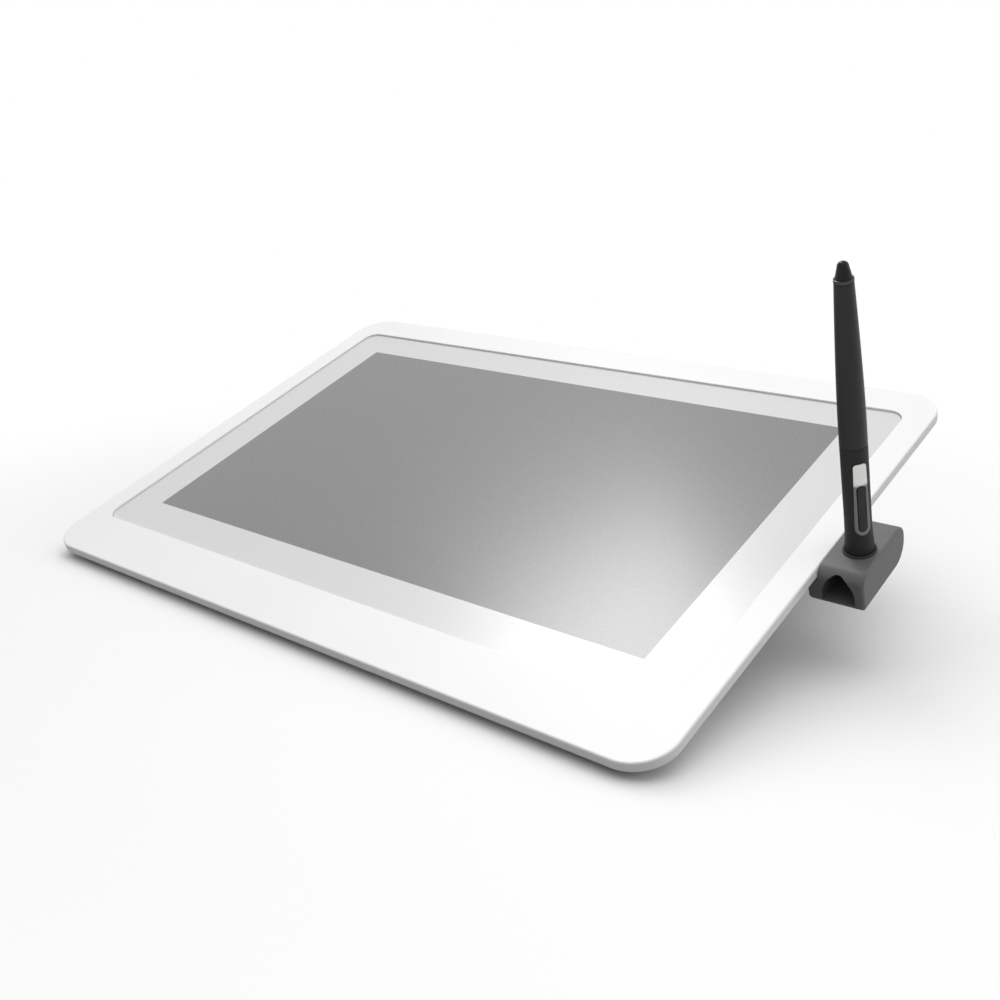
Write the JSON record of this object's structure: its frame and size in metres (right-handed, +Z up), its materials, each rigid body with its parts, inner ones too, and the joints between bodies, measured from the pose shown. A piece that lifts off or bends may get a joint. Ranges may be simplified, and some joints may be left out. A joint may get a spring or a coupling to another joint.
{
  "type": "pen display",
  "caption": "Drawing tablet with a screen on folding rear legs, a stylus standing in a plug-in side holder, a sprung side switch, nib and eraser, and a power button.",
  "frame": {"origin": "on the desk under the middle of the whole object's box, as it stands on its front strips and its two open legs", "axes": "+Z up from the desk, +X to the user's right along the screen's width, +Y away from the user"},
  "size_m": [0.4436, 0.2775, 0.1909],
  "materials": {
    "frame_plastic": "fine moulded texture",
    "cover_plastic": "fine moulded texture",
    "cover_glass": "etched, satin",
    "border_ink": "screen print",
    "adhesive": "foam tape",
    "optical_resin": "clear",
    "panel_glass": "polarised glass",
    "optical_film": "diffusing film",
    "circuit_board": "solder mask",
    "flex_film": "polyimide film",
    "sheet_steel": "plated",
    "sheet_aluminium": "plain",
    "screw_steel": "black zinc",
    "pin_steel": "ground",
    "light_pipe": "clear",
    "socket_plastic": "moulded",
    "foot_rubber": "matt",
    "holder_plastic": "satin",
    "seat_rubber": "matt",
    "pen_rubber": "soft touch",
    "pen_plastic": "satin",
    "pen_silver": "silver paint",
    "eraser_plastic": "matt",
    "nib_plastic": "acetal",
    "pen_core": "moulded",
    "copper_wire": "enamelled",
    "ferrite": "sintered"
  },
  "bodies": {
    "tablet": {"front_frame": "frame_plastic", "cover_glass": "cover_glass", "border_print": "border_ink", "glass_tape": "adhesive", "optical_bond": "optical_resin", "lcd_cell": "panel_glass", "film_stack": "optical_film", "light_guide": "optical_film", "reflector_sheet": "optical_film", "backlight_bar": "circuit_board", "panel_tray": "sheet_steel", "digitizer_board": "circuit_board", "digitizer_shield": "sheet_steel", "chassis_plate": "sheet_aluminium", "main_board": "circuit_board", "board_shield": "sheet_steel", "board_screws": "screw_steel", "panel_board": "circuit_board", "panel_flex": "flex_film", "digitizer_flex": "flex_film", "button_board": "circuit_board", "status_light": "light_pipe", "rear_cover": "cover_plastic", "cover_screws": "screw_steel", "cable_socket": "socket_plastic", "left_leg_pin": "pin_steel", "right_leg_pin": "pin_steel", "front_strips": "foot_rubber", "back_feet": "foot_rubber"},
    "left_leg": {"left_leg": "cover_plastic", "left_leg_pad": "foot_rubber"},
    "right_leg": {"right_leg": "cover_plastic", "right_leg_pad": "foot_rubber"},
    "button": {"power_button": "frame_plastic"},
    "holder": {"holder_body": "holder_plastic", "holder_tongue": "holder_plastic", "pen_seat": "seat_rubber", "nib_cup": "holder_plastic"},
    "pen": {"pen_nose": "pen_plastic", "pen_grip": "pen_rubber", "pen_barrel": "pen_plastic", "pen_switch_bezel": "pen_silver", "pen_tail_ring": "pen_silver", "pen_carrier": "pen_core", "pen_board": "circuit_board", "pen_switch_block": "pen_core", "pen_coil": "copper_wire", "pen_ferrite": "ferrite", "pen_pressure_cell": "pen_core", "pen_eraser_cell": "pen_core"},
    "nib": {"pen_nib": "nib_plastic"},
    "eraser": {"pen_eraser": "eraser_plastic"},
    "rocker": {"pen_rocker": "pen_plastic"}
  },
  "joints": [
    {"name": "left_leg_fold", "type": "hinge", "parent": "tablet", "child": "left_leg", "pos_m": [-0.13575, 0.10665, 0.07788], "axis": [1, 0, 0], "range_deg": [-90, 0]},
    {"name": "right_leg_fold", "type": "hinge", "parent": "tablet", "child": "right_leg", "pos_m": [0.11425, 0.10665, 0.07788], "axis": [1, 0, 0], "range_deg": [-90, 0]},
    {"name": "power_press", "type": "slide", "parent": "tablet", "child": "button", "axis": [0, -0.9397, -0.342], "range_m": [0, 0.0005], "stiffness_N_per_m": 1500},
    {"name": "holder_unplug", "type": "slide", "parent": "tablet", "child": "holder", "axis": [1, 0, 0], "range_m": [0, 0.02]},
    {"name": "pen_lift", "type": "slide", "parent": "holder", "child": "pen", "axis": [0, -0.3156, 0.9489], "range_m": [0, 0.03]},
    {"name": "nib_press", "type": "slide", "parent": "pen", "child": "nib", "axis": [0, -0.3156, 0.9489], "range_m": [0, 0.0004], "stiffness_N_per_m": 1500},
    {"name": "eraser_press", "type": "slide", "parent": "pen", "child": "eraser", "axis": [0, 0.3156, -0.9489], "range_m": [0, 0.0006], "stiffness_N_per_m": 1200},
    {"name": "side_switch_rock", "type": "hinge", "parent": "pen", "child": "rocker", "pos_m": [0.21463, -0.00371, 0.08408], "axis": [0.6947, 0.6826, 0.2271], "range_deg": [-3, 3], "stiffness_Nm_per_rad": 0.1}
  ]
}
